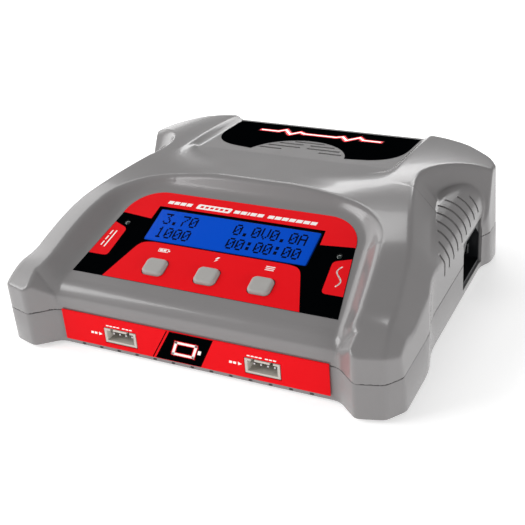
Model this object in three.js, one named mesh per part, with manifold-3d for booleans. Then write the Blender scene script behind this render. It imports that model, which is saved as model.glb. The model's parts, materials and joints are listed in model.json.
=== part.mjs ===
// Balance battery charger for model packs, 152 x 135 x 48 mm, standing on four rubber feet.
// Millimetres, +Z up, +Y to the rear: the sloped control panel faces -Y.
// The origin is the middle of the footprint on the surface that the feet stand on.

import * as THREE from 'three';
import { mergeVertices } from 'three/addons/utils/BufferGeometryUtils.js';
import Module from 'manifold-3d';

const wasm = await Module();
wasm.setup();

// ---------------------------------------------------------------- driving dimensions

const HALF_WIDTH = 76;            // outer faces of the corner posts
const HALF_DEPTH = 67.5;          // front of the posts and rear wall
const FASCIA_Y = -60.8;           // flat front face between the posts
const SIDE_WALL_X = 73;           // recessed side walls behind the front posts
const POST_EDGE_X = 74.7;         // top of the posts' outer faces, which lean in by 3 degrees
const DRAFT = 0.054;
const FOOT_HEIGHT = 1;            // how far the rubber feet lift the case
const SEAM_Z = 14.4;              // parting line between the two shells
const SEAM_GAP = 0.3;
const WALL = 2.4;                 // moulded wall thickness
const FLOOR = 1.8;                // thickness of the lower shell's floor
const GAP = 0.3;                  // clearance between pieces that touch

const PANEL_TILT = THREE.MathUtils.degToRad(19);
const PANEL_Y = -25.8;            // middle of the display window
const PANEL_Z = 35.3;
const OVERLAY_FRONT = -27.6;      // distances along the sloped panel from the display's middle
const OVERLAY_DEPTH = 0.8;        // the overlay lies in a recess this deep
const DISPLAY_WIDTH = 64.5;       // viewing window of a 16 x 2 character display
const DISPLAY_HEIGHT = 16;
const BUTTON_PITCH = 20.6;
const BUTTON_ROW = -20;           // along the panel
const BUTTON_WIDTH = 8.4;
const BUTTON_LENGTH = 7.4;
const BUTTON_PROUD = 1.4;

const ROLL_RADIUS = 8.5;          // bullnose between panel and fascia
const SHOULDER_RADIUS = 11.2;     // round top of the vented side wall
const SHOULDER_TOP = 35.5;
const FAN_Y = 27.9;
const FAN_SIZE = 40;
const FAN_DEPTH = 10;
const FAN_TOP = 36;
const GRILLE_RADIUS = 19.3;
const HUB_RADIUS = 11.2;          // plain middle of the grille

const HEADER_X = 27.6;            // balance headers on the fascia
const HEADER_Z = 8.2;
const HEADER_WIDTH = 12.8;
const HEADER_HEIGHT = 6;
const INLET_Y = 26.05;            // mains inlet on the right, low-voltage jack on the left
const INLET_Z = 13.4;
const INLET_WIDTH = 23.7;
const INLET_HEIGHT = 19.2;

const BOARD_TOP = 5.2;
const BOARD_THICKNESS = 1.5;

const FLOOR_TOP = FOOT_HEIGHT + FLOOR;
const PANEL_SLOPE = Math.tan(PANEL_TILT);
const SLIVER = 0.004;             // faces thinner than this are merged away

// ---------------------------------------------------------------- materials

const material = (color, roughness, metalness = 0) =>
  new THREE.MeshStandardMaterial({ color, roughness, metalness });

const greyPlastic = material(0x8f8f8f, 0.3);
const buttonPlastic = material(0xa6a6a0, 0.45);
const redPrint = material(0xe41b23, 0.4);
const blackPlastic = material(0x0c0d0f, 0.3);
const bluePane = material(0x0a49c8, 0.15);
const boardGreen = material(0x1d5a38, 0.5);
const headerWhite = material(0xd9d4c8, 0.5);
const tinnedSteel = material(0xc9cbcd, 0.3, 1);
const aluminium = material(0xb9bcc0, 0.4, 1);
const ferrite = material(0x2b2c2f, 0.7);
const copperTape = material(0xc98a2b, 0.45, 0.6);
const sleeveBlue = material(0x1e2f66, 0.4);
const rubber = material(0x1a1a1b, 0.85);
const clearSheet = material(0xd8d2b8, 0.4);

// ---------------------------------------------------------------- solids

const toSolid = (geometry) => {
  const bare = geometry.clone();
  bare.deleteAttribute('normal');
  bare.deleteAttribute('uv');
  const merged = mergeVertices(bare, 1e-4);
  return new wasm.Manifold(new wasm.Mesh({
    numProp: 3,
    vertProperties: new Float32Array(merged.attributes.position.array),
    triVerts: new Uint32Array(merged.index.array),
  }));
};

const toGeometry = (solid) => {
  const mesh = solid.simplify(SLIVER).getMesh();
  const geometry = new THREE.BufferGeometry();
  geometry.setAttribute('position', new THREE.BufferAttribute(mesh.vertProperties, 3));
  geometry.setIndex(new THREE.BufferAttribute(mesh.triVerts, 1));
  geometry.computeVertexNormals();
  return geometry;
};

const join = (solids) => solids.reduce((whole, piece) => whole.add(piece));
const cut = (solid, tools) => tools.reduce((left, tool) => left.subtract(tool), solid);

const block = (width, depth, height, x = 0, y = 0, z = 0) =>
  toSolid(new THREE.BoxGeometry(width, depth, height).translate(x, y, z));

// A box given by its lowest and highest corners.
const blockBetween = (low, high) => block(
  high[0] - low[0], high[1] - low[1], high[2] - low[2],
  (low[0] + high[0]) / 2, (low[1] + high[1]) / 2, (low[2] + high[2]) / 2,
);

// An upright cylinder standing on z.
const post = (radius, height, x, y, z, sides = 12) => toSolid(
  new THREE.CylinderGeometry(radius, radius, height, sides)
    .rotateX(Math.PI / 2).translate(x, y, z + height / 2),
);

const prism = (points, height, z = 0) => toSolid(
  new THREE.ExtrudeGeometry(new THREE.Shape(points), { depth: height, bevelEnabled: false })
    .translate(0, 0, z),
);

const roundedRectangle = (width, height, radius, cx = 0, cy = 0) => {
  const shape = new THREE.Shape();
  const [x, y] = [width / 2 - radius, height / 2 - radius];
  shape.absarc(cx + x, cy + y, radius, 0, Math.PI / 2);
  shape.absarc(cx - x, cy + y, radius, Math.PI / 2, Math.PI);
  shape.absarc(cx - x, cy - y, radius, Math.PI, Math.PI * 1.5);
  shape.absarc(cx + x, cy - y, radius, Math.PI * 1.5, Math.PI * 2);
  return shape.getPoints(2).filter((p, i, all) => i === 0 || p.distanceTo(all[i - 1]) > 1e-6);
};

const mirrored = (points) => [
  ...points,
  ...points.map((p) => new THREE.Vector2(-p.x, p.y)).reverse(),
].filter((p, i, all) => p.distanceTo(all[(i + 1) % all.length]) > 1e-6);

const root = new THREE.Group();

// Everything that lies on the sloped panel is built flat, +Y up the slope and +Z out of it.
const panel = new THREE.Group();
panel.position.set(0, PANEL_Y, PANEL_Z);
panel.rotation.x = PANEL_TILT;
panel.updateMatrix();
root.add(panel);

const place = (name, solid, look, parent = root) => {
  const geometry = solid.isBufferGeometry ? solid : toGeometry(solid);
  const mesh = new THREE.Mesh(geometry, look);
  mesh.name = name;
  parent.add(mesh);
  return mesh;
};

// The same tilt, applied to a tool that cuts the shell under the panel.
const onPanel = (solid) => toSolid(toGeometry(solid).applyMatrix4(panel.matrix));

// ---------------------------------------------------------------- outer form

const softMin = (a, b, width) => {
  const near = Math.max(width - Math.abs(a - b), 0) / width;
  return Math.min(a, b) - near * near * width / 4;
};

const smooth = (from, to, value) => THREE.MathUtils.smoothstep(value, from, to);

const RECESS_FRONT = -24.7;       // the side walls step in between these two
const RECESS_REAR = 42.6;
const POST_FRONT_X = 62;          // foremost point of each post

// Footprint of the case, inset by the given distance.
const footprint = (inset) => {
  const right = [
    [54.2, FASCIA_Y], [POST_FRONT_X, -HALF_DEPTH], [71.3, -65], [HALF_WIDTH, -58.4],
    [HALF_WIDTH, -34.9], [SIDE_WALL_X, RECESS_FRONT], [SIDE_WALL_X, 38.2], [HALF_WIDTH, RECESS_REAR],
    [HALF_WIDTH, 50.9], [70.5, 59.5], [60, 65.2], [46, HALF_DEPTH],
  ].map(([x, y]) => new THREE.Vector2(x, y));
  const ring = mirrored(right);
  const edges = ring.map((p, i) => {
    const along = ring[(i + 1) % ring.length].clone().sub(p).normalize();
    const inward = new THREE.Vector2(-along.y, along.x);
    return { point: p.clone().addScaledVector(inward, inset), along };
  });
  return edges.map((edge, i) => {
    const before = edges[(i + edges.length - 1) % edges.length];
    const turn = before.along.cross(edge.along);
    const reach = edge.point.clone().sub(before.point).cross(edge.along) / turn;
    return before.point.clone().addScaledVector(before.along, reach);
  });
};

// Outer edge of the top face: along each arm, round the end of the vented recess
// and out over the rear post.
const topEdge = [
  [71.3, -68.6], [70.2, -58.6], [69.1, -46.6], [67.7, -34.6], [65.5, -22.6], [61.5, -10.6],
  [57.8, 1.4], [54.7, 13.4], [53, 20.4], [53.4, 27.4], [57.2, 35.4], [61.8, 41], [66.5, 45],
  [71, 47.4], [78, 49.4],
].map(([x, y]) => new THREE.Vector2(x, y));

// Inner edge of the recess, where its sloped border meets the rounded shoulder.
const recessEdge = [
  [80, -34], [SIDE_WALL_X, RECESS_FRONT], [69.5, -9.6], [65.3, 1.4], [62.4, 9.4], [60.3, 17.4],
  [59.3, 25.4], [59.9, 31.4], [64.4, 38.2], [69.5, 43], [78, 48],
].map(([x, y]) => new THREE.Vector2(x, y));

const alongY = (line, y) => {
  const after = line.findIndex((p) => p.y > y);
  if (after <= 0) return line[after === 0 ? 0 : line.length - 1].x;
  const [a, b] = [line[after - 1], line[after]];
  return THREE.MathUtils.lerp(a.x, b.x, (y - a.y) / (b.y - a.y));
};

const distanceTo = (line, x, y) => {
  const point = new THREE.Vector2(x, y);
  const distances = line.slice(1).map((end, i) => {
    const side = end.clone().sub(line[i]);
    const t = THREE.MathUtils.clamp(point.clone().sub(line[i]).dot(side) / side.lengthSq(), 0, 1);
    return point.distanceTo(line[i].clone().addScaledVector(side, t));
  });
  return Math.min(...distances);
};

const panelHeight = (y) => PANEL_Z + PANEL_SLOPE * (y - PANEL_Y);
const rollY = FASCIA_Y + ROLL_RADIUS;       // axis of the bullnose
const rollZ = panelHeight(rollY) - ROLL_RADIUS / Math.cos(PANEL_TILT);

// Panel floor, then the bullnose down to the fascia.
const pocketFloor = (y) => {
  if (y > rollY - ROLL_RADIUS * Math.sin(PANEL_TILT)) return panelHeight(y);
  const across = Math.min(rollY - y, ROLL_RADIUS);
  return rollZ + Math.sqrt(ROLL_RADIUS ** 2 - across ** 2);
};

// Where the wall round the panel runs out over the slanted inner face of a post.
const LEDGE_START_X = 53;
const LEDGE_END_X = 54.6;
const LEDGE_RISE = 3.3;
const LEDGE_SLOPE = 0.5;          // fall per mm ahead of the front label's plane
const postLedge = (x, y) =>
  rollZ + LEDGE_RISE * smooth(LEDGE_START_X, LEDGE_END_X, x)
  - LEDGE_SLOPE * Math.max(0, FASCIA_Y - y);

// Foot of the wall round the panel: sides that splay forward, and round rear corners.
const CORNER_X = 32.4;
const CORNER_V = 2.2;
const CORNER_WIDE = 17.6;
const CORNER_LONG = 16.4;
const SPLAY = 0.11;
const WALL_STEEPENING = 0.03;     // per millimetre, over the front of the side walls
const pocketHalfWidth = (v, rx = CORNER_WIDE, ry = CORNER_LONG) => {
  if (v <= CORNER_V) return CORNER_X + rx + SPLAY * (CORNER_V - v);
  const rise = Math.min((v - CORNER_V) / ry, 1);
  return CORNER_X + rx * Math.sqrt(1 - rise * rise);
};
const beyondPocket = (x, v) => {
  if (v <= CORNER_V) return x - pocketHalfWidth(v);
  if (x <= CORNER_X) return v - CORNER_V - CORNER_LONG;
  const away = Math.hypot((x - CORNER_X) / CORNER_WIDE, (v - CORNER_V) / CORNER_LONG);
  return (away - 1) * (CORNER_WIDE + CORNER_LONG) / 2;
};
const upPanel = (y) => (y - PANEL_Y) / Math.cos(PANEL_TILT);

// Rear end of the plane scoop that holds the fan grille and the badge.
const SCOOP_Y = 65.4;
const SCOOP_Z = 39.6;
const SCOOP_SLOPE = 0.0907;

// The front faces of the two posts stand this high, then lean back to meet the arms.
const POST_FACE_Z = 24.2;
const POST_FACET_SLOPE = 0.72;
const ARM_SLOPE = 0.385;
const ARM_FRONT_Z = 26.8;         // height the slope of the arms would reach at the front face
const POST_TURN = 0.263;          // the front face of a post turns away from square by this slope

// Top face: arched lengthways, falling to the sides, with the scoop in the middle.
const topFace = (x, y) => {
  const behindFront = y + HALF_DEPTH - POST_TURN * (x - POST_FRONT_X);
  const rounding = y < 13.4 ? 0.0045 * smooth(4, 20, behindFront) : 0.0055;
  const crown = rounding * Math.max(0, x - 42) ** 2;
  const arch = 45 - (y < 13.4 ? 0.0023 : 0.0013) * (y - 13.4) ** 2;
  const scoop = SCOOP_Z + SCOOP_SLOPE * (SCOOP_Y - y) + 0.055 * Math.max(0, FAN_Y - y);
  const rearward = smooth(2.4, 27.4, y);
  const from = THREE.MathUtils.lerp(12, 40.5, rearward);
  const to = THREE.MathUtils.lerp(52, 44.5, rearward);
  const flank = THREE.MathUtils.lerp(scoop, arch, smooth(from, to, x));
  const slope = softMin(flank, ARM_FRONT_Z + ARM_SLOPE * behindFront, 3) - crown;
  return softMin(slope, POST_FACE_Z + POST_FACET_SLOPE * behindFront, 1.2);
};

const shoulder = (x) => {
  const across = x - (SIDE_WALL_X - SHOULDER_RADIUS);
  if (across <= 0) return SHOULDER_TOP;
  if (across >= SHOULDER_RADIUS) return 0;
  return SHOULDER_TOP - SHOULDER_RADIUS + Math.sqrt(SHOULDER_RADIUS ** 2 - across ** 2);
};

const outerHeight = (signedX, y) => {
  const x = Math.abs(signedX);
  const top = topFace(x, y);
  const wallSlope = 1 + WALL_STEEPENING * Math.max(0, -50 - y);
  const floor = Math.max(pocketFloor(y), postLedge(x, y));
  const pocket = floor + wallSlope * Math.max(0, beyondPocket(x, upPanel(y)));
  if (x < alongY(topEdge, y)) return Math.min(top, pocket);
  const steepness = 1 + 1.2 * smooth(20, 34, y);
  const border = top - steepness * distanceTo(topEdge, x, y);
  const side = FOOT_HEIGHT + (HALF_WIDTH - x) / DRAFT;
  return Math.min(side, y < RECESS_FRONT ? border : Math.max(border, shoulder(x)));
};

// Columns of the top surface follow its edges, so that each fold is a clean line.
const columnsAt = (y) => {
  const v = upPanel(y);
  const foot = pocketHalfWidth(v);
  const rim = Math.max(pocketHalfWidth(v, 22.4, 24.6), foot + 3);
  const edge = Math.max(alongY(topEdge, y), rim + 3);
  const recess = Math.max(alongY(recessEdge, y), edge + 2);
  const rounded = [0.45, 0.75, 0.93].map((t) =>
    Math.max(SIDE_WALL_X - SHOULDER_RADIUS * (1 - t), recess + 1 + 2 * t));
  const outer = y > RECESS_FRONT && y < RECESS_REAR
    ? [recess, ...rounded, Math.max(SIDE_WALL_X, recess + 4)]
    : [(edge + POST_EDGE_X) / 2, POST_EDGE_X, 75.35, 75.7, HALF_WIDTH + 0.2];
  return [
    0, foot * 0.35, foot * 0.7, foot - 3.4, foot, rim, (rim + edge) / 2,
    Math.min(edge, POST_EDGE_X - 2), ...outer, 82,
  ];
};

const outerRows = [
  -70, -66, -63, FASCIA_Y, -59, -57, -55.1, -51.9, -46, -40, -34.6, -29, -24.7, -20, -15.5, -12,
  -9, -7.6, -4, -0.5, 3, 9, 15, 20.5, 26, 31, 35.4, 38.2, 40.5, 42.7, 45, 47.2, 49.6, 54, 60, 65, 70,
];
const outerColumns = columnsAt(0).map((_, i) => i);
const innerRows = [
  -70, -63, -59, -55.1, -51, -40, -29, -22, -15.5, -10, -6, -1, 5, 15, 26, 33, 38.2, 42.7, 47, 52,
  60, 70,
];
const innerColumns = [0, 3, 4, 5, 7, 8, 10, 12, 13];

// A block whose top follows height(x, y), with its grid drawn along the columns.
const heightField = (height, base, rows, columns) => {
  const half = columns.length - 1;
  const geometry = new THREE.BoxGeometry(1, 1, 1, 2 * half, rows.length - 1, 1);
  const position = geometry.attributes.position;
  for (let i = 0; i < position.count; i += 1) {
    const column = Math.round((position.getX(i) + 0.5) * 2 * half) - half;
    const y = rows[Math.round((position.getY(i) + 0.5) * (rows.length - 1))];
    const x = Math.sign(column) * columnsAt(y)[columns[Math.abs(column)]];
    position.setXYZ(i, x, y, position.getZ(i) > 0 ? height(x, y) : base);
  }
  return toSolid(geometry);
};

const INSIDE_REACH = 1.5;
const innerHeight = (x, y) => Math.min(
  outerHeight(x, y), outerHeight(x - INSIDE_REACH, y), outerHeight(x + INSIDE_REACH, y),
  outerHeight(x, y - INSIDE_REACH), outerHeight(x, y + INSIDE_REACH),
) - WALL + 0.2;

// ---------------------------------------------------------------- shared outlines

// The printed panel sheet; grow makes the same outline larger or smaller.
const overlayOutline = (grow) => {
  const right = [new THREE.Vector2(51.1 + grow, OVERLAY_FRONT - grow)];
  const radius = 13.9 + grow;
  for (let step = 0; step <= 6; step += 1) {
    const angle = step * Math.PI / 12;
    const x = CORNER_X + radius * Math.cos(angle);
    right.push(new THREE.Vector2(x, 2.1 + radius * Math.sin(angle)));
  }
  return mirrored(right);
};

const buttonPlaces = [-1, 0, 1].map((i) => ({
  name: ['left', 'middle', 'right'][i + 1],
  x: i * BUTTON_PITCH,
}));

const buttonOutline = (x, grow) =>
  roundedRectangle(BUTTON_WIDTH + 2 * grow, BUTTON_LENGTH + 2 * grow, 1.4, x, BUTTON_ROW);

const screwPlaces = [[-64, -52], [64, -52], [-64, 50], [64, 50]];
const footPlaces = [[-50, -48], [50, -48], [-50, 52], [50, 52]];

// ---------------------------------------------------------------- upper shell

const fanSlots = [];
const slotRows = [
  { away: 7.9, inner: 8 }, { away: 11.5, inner: 1.5 }, { away: 15.1, inner: 1.5 },
  { away: 18.2, inner: 0 },
];
for (const { away, inner } of slotRows) {
  const outer = Math.sqrt(GRILLE_RADIUS ** 2 - away ** 2);
  if (inner === 0) {
    fanSlots.push(block(2 * outer, 1.1, 12, 0, FAN_Y + away, 41));
  } else {
    for (const side of [-1, 1]) {
      const middle = side * (inner + outer) / 2;
      fanSlots.push(block(outer - inner, 1.1, 12, middle, FAN_Y + away, 41));
    }
  }
}

// Slots over the rounded shoulder, at an even pitch along Y.
const SIDE_SLOT_PITCH = 5.4;
const sideSlots = [];
for (let i = 0; i < 9; i += 1) {
  const y = -9.2 + i * SIDE_SLOT_PITCH;
  const start = Math.max(alongY(recessEdge, y) + 1.8, 61.5);
  const foot = 24.5 + 0.6 * i;
  for (const side of [-1, 1]) {
    const [x0, x1] = [side * start, side * (SIDE_WALL_X + 2)];
    sideSlots.push(blockBetween(
      [Math.min(x0, x1), y - 0.5, foot], [Math.max(x0, x1), y + 0.5, 42],
    ));
  }
}

const inletHole = block(12, INLET_WIDTH, INLET_HEIGHT, SIDE_WALL_X, INLET_Y, INLET_Z);
const JACK_Y = 26;
const JACK_Z = 13.4;
const JACK_RADIUS = 4.6;
const jackHole = toSolid(
  new THREE.CylinderGeometry(JACK_RADIUS + GAP, JACK_RADIUS + GAP, 12, 20)
    .rotateZ(Math.PI / 2).translate(-SIDE_WALL_X, JACK_Y, JACK_Z),
);

const upperOutside = heightField(outerHeight, SEAM_Z - 14, outerRows, outerColumns)
  .intersect(prism(footprint(0), 60, SEAM_Z + SEAM_GAP / 2));
const upperInside = heightField(innerHeight, SEAM_Z - 50, innerRows, innerColumns)
  .intersect(prism(footprint(WALL), 60, SEAM_Z - 6));

const BADGE_NOTCH = 20.6;         // radius of the badge's round cut-out over the fan
const badgeOutline = (grow) => {
  const arc = [];
  const sweep = 0.86 * Math.PI + 2 * grow / BADGE_NOTCH;
  for (let step = 0; step <= 10; step += 1) {
    const angle = Math.PI / 2 + sweep * (step / 10 - 0.5);
    const radius = BADGE_NOTCH - grow;
    arc.push(new THREE.Vector2(radius * Math.cos(angle), FAN_Y + radius * Math.sin(angle)));
  }
  const flank = [
    [30.5, 34.2], [35.8, 37.4], [38.9, 42.2], [40.3, 48],
  ].map(([x, y]) => new THREE.Vector2(x + grow, y - grow));
  const left = flank.map((p) => new THREE.Vector2(-p.x, p.y)).reverse();
  const rear = [new THREE.Vector2(40.3 + grow, 65 + grow), new THREE.Vector2(-40.3 - grow, 65 + grow)];
  return [...flank, ...rear, ...left, ...arc.reverse()];
};

// Everything on the badge is built flat and laid on the scoop.
const BADGE_THICKNESS = 0.6;
const badgeGroup = new THREE.Group();
badgeGroup.position.set(0, SCOOP_Y, SCOOP_Z);
badgeGroup.rotation.x = -Math.atan(SCOOP_SLOPE);
badgeGroup.updateMatrix();
root.add(badgeGroup);
const badgeSheet = (grow, bottom, top) => {
  const flat = badgeOutline(grow).map((p) => new THREE.Vector2(p.x, p.y - SCOOP_Y));
  return prism(flat, top - bottom, bottom);
};

const fanCorners = [[-16, -16], [16, -16], [-16, 16], [16, 16]]
  .map(([x, y]) => [x, FAN_Y + y]);

const displayHole = prism(roundedRectangle(72.2, 27, 0.5), 12, -8);
const buttonHoles = buttonPlaces.map(({ x }) => prism(buttonOutline(x, 0.35), 12, -8));
const LED_X = 42;
const LED_V = -1.6;
const ledHoles = [-1, 1].map((side) => post(1.3, 12, side * LED_X, LED_V, -8, 12));

const SCREW_HOLE = 1.7;
const boss = (radius, from, to, [x, y]) => post(radius, to - from, x, y, from, 10);
const CASE_SCREW_TIP = 19.5;
const FAN_SCREW_TIP = 38.4;
const BORE_ROOM = 0.7;            // depth of a screw hole past the screw's tip
const upperBosses = [
  ...screwPlaces.map((at) => boss(3.8, SEAM_Z + SEAM_GAP / 2, 60, at)),
  ...fanCorners.map((at) => boss(2.9, FAN_TOP + GAP, 60, at)),
].map((solid) => solid.intersect(upperOutside));

const upperShell = () => {
  const walls = join([cut(upperOutside, [upperInside]), ...upperBosses]);
  return cut(walls, [
    onPanel(prism(overlayOutline(GAP), 6, -OVERLAY_DEPTH)),
    onPanel(displayHole),
    ...buttonHoles.map(onPanel),
    ...ledHoles.map(onPanel),
    toSolid(toGeometry(badgeSheet(GAP, -BADGE_THICKNESS, 8)).applyMatrix4(badgeGroup.matrix)),
    ...fanSlots,
    ...sideSlots,
    inletHole,
    jackHole,
    ...screwPlaces.map((at) => boss(SCREW_HOLE, SEAM_Z - 1, CASE_SCREW_TIP + BORE_ROOM, at)),
    ...fanCorners.map((at) => boss(SCREW_HOLE, FAN_TOP - 1, FAN_SCREW_TIP + BORE_ROOM, at)),
  ]);
};
place('upper_shell', upperShell(), greyPlastic);

// ---------------------------------------------------------------- lower shell

const NOTCH_PITCH = 7.43;
const frontNotches = [];
for (let i = -6; i <= 6; i += 1) {
  frontNotches.push(block(1.4, 1.2, 0.8, i * NOTCH_PITCH, FASCIA_Y, 1.9));
}
const bottomSlots = [];
for (let i = -3; i <= 3; i += 1) {
  bottomSlots.push(block(1.6, 26, 8, i * 5, FAN_Y, 2));
}
const rearSlots = [];
for (let i = -5; i <= 5; i += 1) {
  rearSlots.push(block(1.8, 8, 6, i * 5.4, HALF_DEPTH, 9));
}

const headerHole = (x) => block(
  HEADER_WIDTH + 2 * GAP, 8, HEADER_HEIGHT + 2 * GAP, x, FASCIA_Y, HEADER_Z,
);
const BOARD_PILLAR_TOP = BOARD_TOP - BOARD_THICKNESS - GAP;
const pillarPlaces = [[-52, -50], [52, -50], [-44, 54], [44, 54], [0, -20], [0, 50]];

const lowerShell = () => {
  const top = SEAM_Z - SEAM_GAP / 2;
  const outside = prism(footprint(0), top - FOOT_HEIGHT, FOOT_HEIGHT);
  const inside = prism(footprint(WALL), top, FLOOR_TOP);
  const tray = join([
    outside.subtract(inside),
    ...screwPlaces.map((at) => boss(4, FLOOR_TOP - 0.5, top, at)),
    ...pillarPlaces.map((at) => boss(3, FLOOR_TOP - 0.5, BOARD_PILLAR_TOP, at)),
  ]);
  return cut(tray, [
    ...screwPlaces.map((at) => boss(SCREW_HOLE, 0, 20, at)),
    ...screwPlaces.map((at) => boss(3.3, 0, 4.6, at)),
    ...footPlaces.map((at) => boss(5.3, 0, FOOT_HEIGHT + 1, at)),
    ...[-1, 1].map((side) => headerHole(side * HEADER_X)),
    ...frontNotches,
    ...bottomSlots,
    ...rearSlots,
    inletHole,
    jackHole,
  ]);
};
place('lower_shell', lowerShell(), greyPlastic);

screwPlaces.forEach((at, i) => {
  const screw = boss(2.8, 2.4, 4.3, at).add(boss(1.4, 4.2, CASE_SCREW_TIP, at));
  place(`case_screw_${i + 1}`, screw, tinnedSteel);
});
footPlaces.forEach((at, i) => {
  place(`rubber_foot_${i + 1}`, boss(5, 0, FOOT_HEIGHT + 0.7, at), rubber);
});

// ---------------------------------------------------------------- control panel

const OVERLAY_BOTTOM = -0.5;
const OVERLAY_TOP = 0.1;
const windowHole = (grow, from, to) => prism(
  roundedRectangle(DISPLAY_WIDTH + 2 * grow, DISPLAY_HEIGHT + 2 * grow, 0.6), to - from, from,
);
const overlay = cut(
  prism(overlayOutline(0), OVERLAY_TOP - OVERLAY_BOTTOM, OVERLAY_BOTTOM),
  [windowHole(0.3, -2, 2), ...buttonHoles, ...ledHoles],
);
place('control_overlay', overlay, redPrint, panel);

const BEZEL_TOP = OVERLAY_BOTTOM - GAP;
const BEZEL_BOTTOM = -3.4;
const bezelBlock = block(71.4, 26.2, BEZEL_TOP - BEZEL_BOTTOM, 0, 0, (BEZEL_TOP + BEZEL_BOTTOM) / 2);
place('display_bezel', bezelBlock.subtract(windowHole(0, -6, 2)), blackPlastic, panel);
const GLASS_TOP = -0.3;
place('display_glass', windowHole(-GAP, BEZEL_BOTTOM, GLASS_TOP), bluePane, panel);
place('display_backlight', block(71.4, 26.2, 4.2, 0, 0, -5.8), headerWhite, panel);

const CONTROL_BOARD_TOP = -8.3;
const controlBoard = block(90, 45.5, 1.6, 0, -4.25, CONTROL_BOARD_TOP - 0.8);
place('control_board', controlBoard, boardGreen, panel);

const FLANGE_TOP = -2.9;
const FLANGE_BOTTOM = -3.7;
const SWITCH_TOP = -4.8;
for (const { name, x } of buttonPlaces) {
  const cap = prism(buttonOutline(x, 0), BUTTON_PROUD - 0.4 - FLANGE_TOP + 0.1, FLANGE_TOP - 0.1);
  const crown = prism(buttonOutline(x, -0.4), 0.5, BUTTON_PROUD - 0.5);
  const flange = prism(buttonOutline(x, 1.1), FLANGE_TOP - FLANGE_BOTTOM, FLANGE_BOTTOM);
  place(`button_${name}`, join([flange, cap, crown]), buttonPlastic, panel);

  const plunger = post(1.5, 2.4, x, BUTTON_ROW, FLANGE_BOTTOM - GAP - 2.4, 12);
  place(`switch_plunger_${name}`, plunger, blackPlastic, panel);
  const bodyHeight = SWITCH_TOP - CONTROL_BOARD_TOP - GAP;
  const body = block(6, 6, bodyHeight, x, BUTTON_ROW, SWITCH_TOP - bodyHeight / 2);
  const well = post(1.9, 4, x, BUTTON_ROW, FLANGE_BOTTOM - 3.4, 12);
  place(`switch_${name}`, body.subtract(well), tinnedSteel, panel);
}
for (const [name, side] of [['left', -1], ['right', 1]]) {
  const lens = post(1, 8.1, side * LED_X, LED_V, CONTROL_BOARD_TOP + GAP, 10);
  place(`status_led_${name}`, lens, blackPlastic, panel);
}

// ---------------------------------------------------------------- labels and badge

const LABEL_BACK = FASCIA_Y - GAP;
const LABEL_FRONT = LABEL_BACK - 0.4;
const label = toSolid(
  new THREE.BoxGeometry(102.8, LABEL_BACK - LABEL_FRONT, 12.3)
    .translate(0, (LABEL_BACK + LABEL_FRONT) / 2, 9.35),
);
place('front_label', cut(label, [-1, 1].map((side) => headerHole(side * HEADER_X))), redPrint);
place('rear_badge', badgeSheet(0, GAP - BADGE_THICKNESS, 0.1), blackPlastic, badgeGroup);

// ---------------------------------------------------------------- balance headers

const HEADER_BACK = -53;
const PIN_PITCH = 2.5;
const headerBottom = BOARD_TOP + GAP;
const headerTop = HEADER_Z + HEADER_HEIGHT / 2;
const pinZ = (headerBottom + headerTop) / 2;
const pinOffsets = [-1.5, -0.5, 0.5, 1.5].map((i) => i * PIN_PITCH);
for (const [name, side] of [['left', -1], ['right', 1]]) {
  const x = side * HEADER_X;
  const half = HEADER_WIDTH / 2;
  const shroud = blockBetween(
    [x - half, LABEL_FRONT - 0.1, headerBottom], [x + half, HEADER_BACK, headerTop],
  );
  const cavity = blockBetween(
    [x - half + 0.9, -70, headerBottom + 0.8], [x + half - 0.9, -55.4, headerTop - 0.8],
  );
  const keyways = [-1, 1].map((end) => block(1.3, 10, 3, x + end * 3.4, -62, headerTop));
  const pinHoles = pinOffsets.map((dx) => block(1.24, 12, 1.24, x + dx, -54, pinZ));
  place(`balance_header_${name}`, cut(shroud, [cavity, ...keyways, ...pinHoles]), headerWhite);

  const bar = block(8.6, 0.8, 0.9, x, -52.2, pinZ);
  const pins = pinOffsets.map((dx) => block(0.64, 7.8, 0.64, x + dx, -56, pinZ));
  const legs = pinOffsets.map((dx) =>
    blockBetween([x + dx - 0.32, -52.5, headerBottom], [x + dx + 0.32, -51.9, pinZ]));
  place(`balance_pins_${name}`, join([bar, ...pins, ...legs]), tinnedSteel);
}

// ---------------------------------------------------------------- power inlets

const INLET_FACE = SIDE_WALL_X - 0.6;
const INLET_BACK = 52;
const CAVITY_FLOOR = 56.4;
const inletY = (dy) => INLET_Y + dy;
const inletZ = (dz) => INLET_Z + dz;

const inletBody = () => {
  const [halfY, halfZ] = [INLET_WIDTH / 2 - GAP, INLET_HEIGHT / 2 - GAP];
  const body = blockBetween(
    [INLET_BACK, inletY(-halfY), inletZ(-halfZ)], [INLET_FACE, inletY(halfY), inletZ(halfZ)],
  );
  // The socket: a rectangle with its two upper corners cut off.
  const socket = [
    [-10.4, -7.8], [10.4, -7.8], [10.4, 3.4], [6, 7.8], [-6, 7.8], [-10.4, 3.4],
  ].map(([y, z]) => new THREE.Vector2(y, z));
  const cavity = toSolid(
    new THREE.ExtrudeGeometry(new THREE.Shape(socket), { depth: 20, bevelEnabled: false })
      .rotateX(Math.PI / 2).rotateZ(Math.PI / 2).translate(CAVITY_FLOOR, INLET_Y, INLET_Z),
  );
  return cut(body, [cavity, ...bladePlaces.map(({ at }) => blade(at, GAP))]);
};
const bladePlaces = [
  { name: 'line', at: [-7, -2] }, { name: 'neutral', at: [7, -2] }, { name: 'earth', at: [0, 2] },
];
const blade = ([dy, dz], grow) => blockBetween(
  [INLET_BACK - 3 - grow, inletY(dy - 1 - grow), inletZ(dz - 2 - grow)],
  [69.5, inletY(dy + 1 + grow), inletZ(dz + 2 + grow)],
);
place('ac_inlet', inletBody(), blackPlastic);
for (const { name, at } of bladePlaces) {
  place(`ac_blade_${name}`, blade(at, 0), tinnedSteel);
}

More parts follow.
